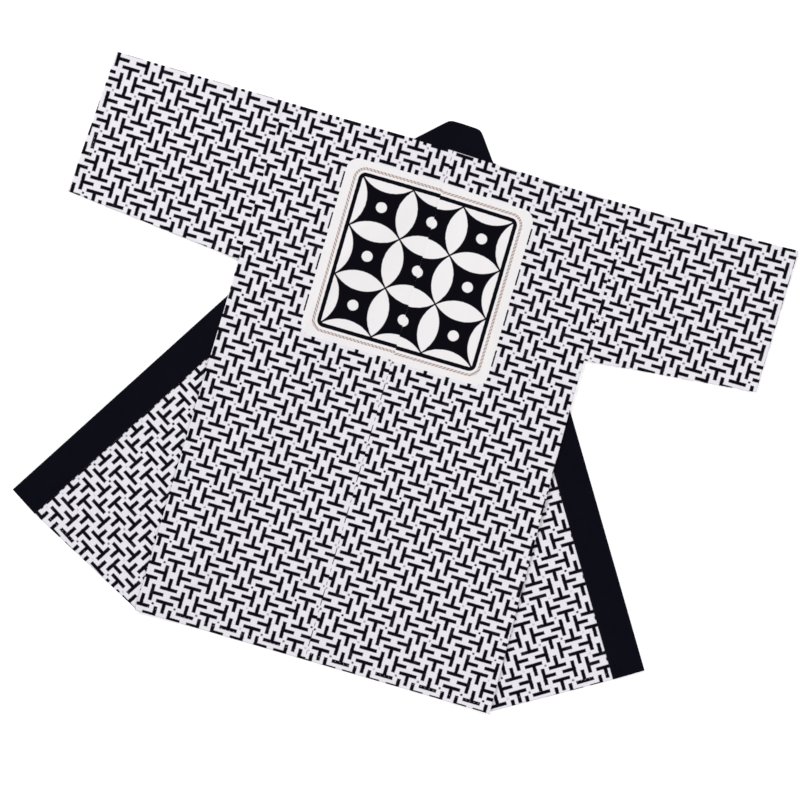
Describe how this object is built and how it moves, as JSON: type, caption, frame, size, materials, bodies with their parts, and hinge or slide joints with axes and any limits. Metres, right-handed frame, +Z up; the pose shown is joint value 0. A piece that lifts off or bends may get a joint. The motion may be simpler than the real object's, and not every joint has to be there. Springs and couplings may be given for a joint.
{
  "type": "hanten coat laid flat",
  "caption": "Short open coat with straight sleeves and a black collar band, laid flat with its back up and its fronts spread.",
  "frame": {"origin": "on the surface the coat lies on, under the middle of its bounding box", "axes": "+X towards the wearer's right sleeve, along the sleeves; +Y towards the neck; +Z up, out of the back"},
  "size_m": [1.318, 1.0261, 0.006],
  "materials": {
    "printed_cotton": "matt plain-weave cotton, off-white printed with a navy-black key pattern",
    "collar_cotton": "matt black cotton band with a faint navy cast"
  },
  "bodies": {
    "root": {"body_left": "printed_cotton", "body_right": "printed_cotton", "sleeve_left": "printed_cotton", "sleeve_right": "printed_cotton", "collar": "collar_cotton"}
  },
  "joints": []
}
